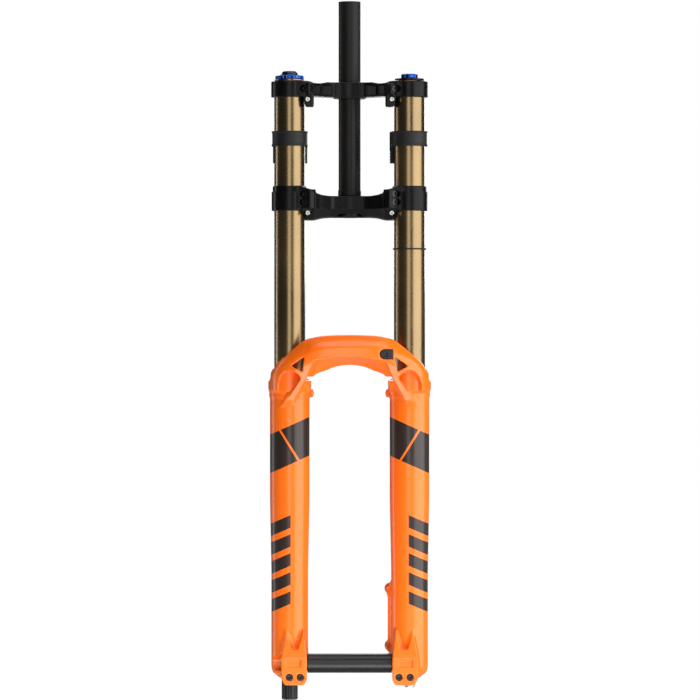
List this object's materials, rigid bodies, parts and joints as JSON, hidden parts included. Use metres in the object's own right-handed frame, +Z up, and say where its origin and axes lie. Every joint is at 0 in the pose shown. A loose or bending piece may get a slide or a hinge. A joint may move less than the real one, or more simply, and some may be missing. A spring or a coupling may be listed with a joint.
{
  "type": "suspension fork",
  "caption": "Dual-crown bicycle suspension fork with sliding lower legs and arch, straight steerer, through axle, damper dials and an air spring.",
  "frame": {"origin": "steerer axis at the crown race seat, the top of the lower crown", "axes": "+Z up along the steerer, -Y to the front of the fork, +X to the rider's left, the air spring and brake side"},
  "size_m": [0.2102, 0.119, 0.9033],
  "materials": {
    "steerer_black": "black anodised, satin",
    "crown_black": "black anodised forging, satin",
    "stanchion_gold": "golden brown hard anodised, polished",
    "casting_orange": "orange paint with clear coat on cast magnesium",
    "blue_anodised": "blue anodised",
    "bare_steel": "zinc plated and ground steel",
    "black_steel": "black oxide steel",
    "rubber": "matt black rubber",
    "plastic": "matt black moulded plastic",
    "bushing_grey": "grey lined bushing",
    "oil_foam": "oil soaked foam"
  },
  "bodies": {
    "uppers": {"steerer_tube": "steerer_black", "upper_crown": "crown_black", "lower_crown": "crown_black", "steerer_bolt": "black_steel", "damper_stanchion": "stanchion_gold", "upper_bolt_damper": "black_steel", "lower_bolt_damper_1": "black_steel", "lower_bolt_damper_2": "black_steel", "guide_screw_upper_damper": "bare_steel", "guide_screw_lower_damper": "bare_steel", "damper_bumper": "rubber", "damper_top_cap": "stanchion_gold", "damper_seal_head": "crown_black", "air_stanchion": "stanchion_gold", "upper_bolt_air": "black_steel", "lower_bolt_air_1": "black_steel", "lower_bolt_air_2": "black_steel", "guide_screw_upper_air": "bare_steel", "guide_screw_lower_air": "bare_steel", "air_bumper": "rubber", "air_top_cap": "crown_black", "air_seal_head": "crown_black", "cartridge_tube": "bare_steel", "compression_base": "bare_steel", "piston_spring": "bare_steel", "valve_core": "bare_steel", "volume_spacer_1": "plastic", "volume_spacer_2": "plastic"},
    "lowers": {"lower_casting": "casting_orange", "damper_bushing_upper": "bushing_grey", "damper_bushing_lower": "bushing_grey", "damper_foam_ring": "oil_foam", "damper_wiper": "rubber", "axle_pinch_bolt_damper_1": "black_steel", "axle_pinch_bolt_damper_2": "black_steel", "damper_foot_bolt": "black_steel", "damper_shaft": "bare_steel", "air_bushing_upper": "bushing_grey", "air_bushing_lower": "bushing_grey", "air_foam_ring": "oil_foam", "air_wiper": "rubber", "axle_pinch_bolt_air_1": "black_steel", "axle_pinch_bolt_air_2": "black_steel", "air_foot_bolt": "bare_steel", "air_shaft": "bare_steel", "axle_sleeve": "plastic", "hose_guide": "plastic", "rebound_piston": "bare_steel", "air_piston": "plastic", "topout_spring": "bare_steel"},
    "axle": {"axle": "crown_black"},
    "high_speed_dial": {"high_speed_dial": "blue_anodised"},
    "low_speed_dial": {"low_speed_dial": "plastic"},
    "rebound_adjuster": {"rebound_dial": "plastic", "rebound_rod": "bare_steel"},
    "air_valve_cap": {"air_valve_cap": "blue_anodised"},
    "sag_ring": {"sag_ring": "rubber"},
    "floating_piston": {"floating_piston": "plastic"},
    "damper_bleeder": {"damper_bleeder": "plastic"},
    "air_bleeder": {"air_bleeder": "plastic"}
  },
  "joints": [
    {"name": "fork_travel", "type": "slide", "parent": "uppers", "child": "lowers", "axis": [0, 0, 1], "range_m": [0, 0.203], "stiffness_N_per_m": 3000, "springref_m": -0.02},
    {"name": "high_speed_compression", "type": "hinge", "parent": "uppers", "child": "high_speed_dial", "pos_m": [-0.0773, -0.034, 0.1525], "axis": [0, 0, 1], "range_deg": [-120, 0]},
    {"name": "low_speed_compression", "type": "hinge", "parent": "uppers", "child": "low_speed_dial", "pos_m": [-0.0773, -0.034, 0.159], "axis": [0, 0, 1], "range_deg": [-330, 0]},
    {"name": "rebound_turn", "type": "hinge", "parent": "lowers", "child": "rebound_adjuster", "pos_m": [-0.0773, -0.034, -0.64], "axis": [0, 0, 1], "range_deg": [-340, 0]},
    {"name": "air_cap_lift", "type": "slide", "parent": "uppers", "child": "air_valve_cap", "axis": [0, 0, 1], "range_m": [0, 0.02]},
    {"name": "axle_withdraw", "type": "slide", "parent": "lowers", "child": "axle", "axis": [-1, 0, 0], "range_m": [0, 0.175]},
    {"name": "sag_ring_slide", "type": "slide", "parent": "uppers", "child": "sag_ring", "axis": [0, 0, 1], "range_m": [0, 0.038]},
    {"name": "floating_piston_slide", "type": "slide", "parent": "uppers", "child": "floating_piston", "axis": [0, 0, 1], "range_m": [0, 0.0317], "deforming": ["piston_spring"]},
    {"name": "damper_bleeder_press", "type": "slide", "parent": "lowers", "child": "damper_bleeder", "axis": [-0.9397, -0.342, 0], "range_m": [0, 0.0015], "stiffness_N_per_m": 1500, "springref_m": -0.0005},
    {"name": "air_bleeder_press", "type": "slide", "parent": "lowers", "child": "air_bleeder", "axis": [0.9397, -0.342, 0], "range_m": [0, 0.0015], "stiffness_N_per_m": 1500, "springref_m": -0.0005}
  ],
  "couplings": [
    {"joint": "sag_ring_slide", "follows": "fork_travel", "ratio": 0.187},
    {"joint": "floating_piston_slide", "follows": "fork_travel", "ratio": 0.155}
  ]
}
